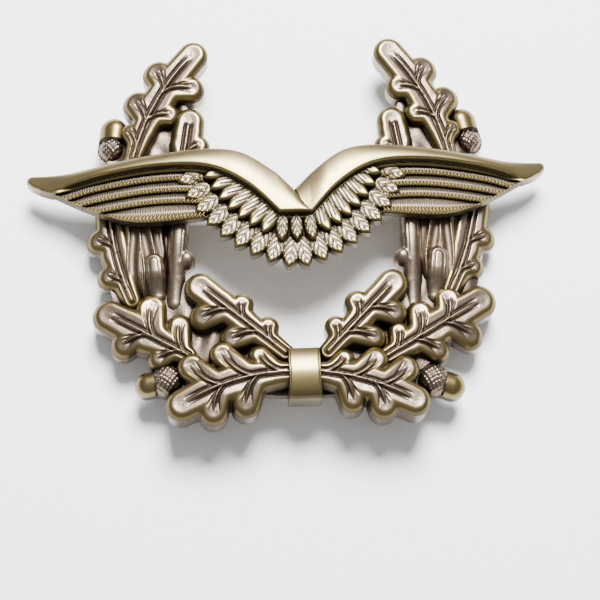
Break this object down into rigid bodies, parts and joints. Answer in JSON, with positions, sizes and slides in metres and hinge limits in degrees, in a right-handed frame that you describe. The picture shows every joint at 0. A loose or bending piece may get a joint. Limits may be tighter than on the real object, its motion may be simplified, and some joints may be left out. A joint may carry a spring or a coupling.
{
  "type": "winged oak-wreath cap badge",
  "caption": "Cap badge with swept wings laid over an open oak-leaf wreath tied by a band, with a hinged brooch pin and turning safety catch behind.",
  "frame": {"origin": "centre of the badge's outline, on the plane that its back fittings rest on", "axes": "+X to the wearer's left along the wings, +Y up towards the open top of the wreath, +Z out of the face"},
  "size_m": [0.0642, 0.0496, 0.011],
  "materials": {
    "wreath_bronze": "antiqued, satin with polished high points",
    "wings_bronze": "antiqued, satin with polished high points",
    "fixings_brass": "satin",
    "needle_steel": "drawn"
  },
  "bodies": {
    "badge": {"wreath": "wreath_bronze", "wings": "wings_bronze", "tie_band": "wings_bronze", "wing_rivet_left": "fixings_brass", "wing_rivet_right": "fixings_brass", "rivet_washer_left": "fixings_brass", "rivet_washer_right": "fixings_brass", "hinge_plate": "fixings_brass", "hinge_bracket": "fixings_brass", "hinge_pin": "fixings_brass", "catch_plate": "fixings_brass", "catch_body": "fixings_brass"},
    "needle": {"needle": "needle_steel"},
    "catch_lock": {"catch_lock": "fixings_brass"}
  },
  "joints": [
    {"name": "needle_swing", "type": "hinge", "parent": "badge", "child": "needle", "pos_m": [-0.0205, 0.0034, 0.0013], "axis": [0, 1, 0], "range_deg": [0, 95]},
    {"name": "catch_turn", "type": "hinge", "parent": "badge", "child": "catch_lock", "pos_m": [0.0195, 0.0034, 0.0013], "axis": [1, 0, 0], "range_deg": [0, 180]}
  ]
}
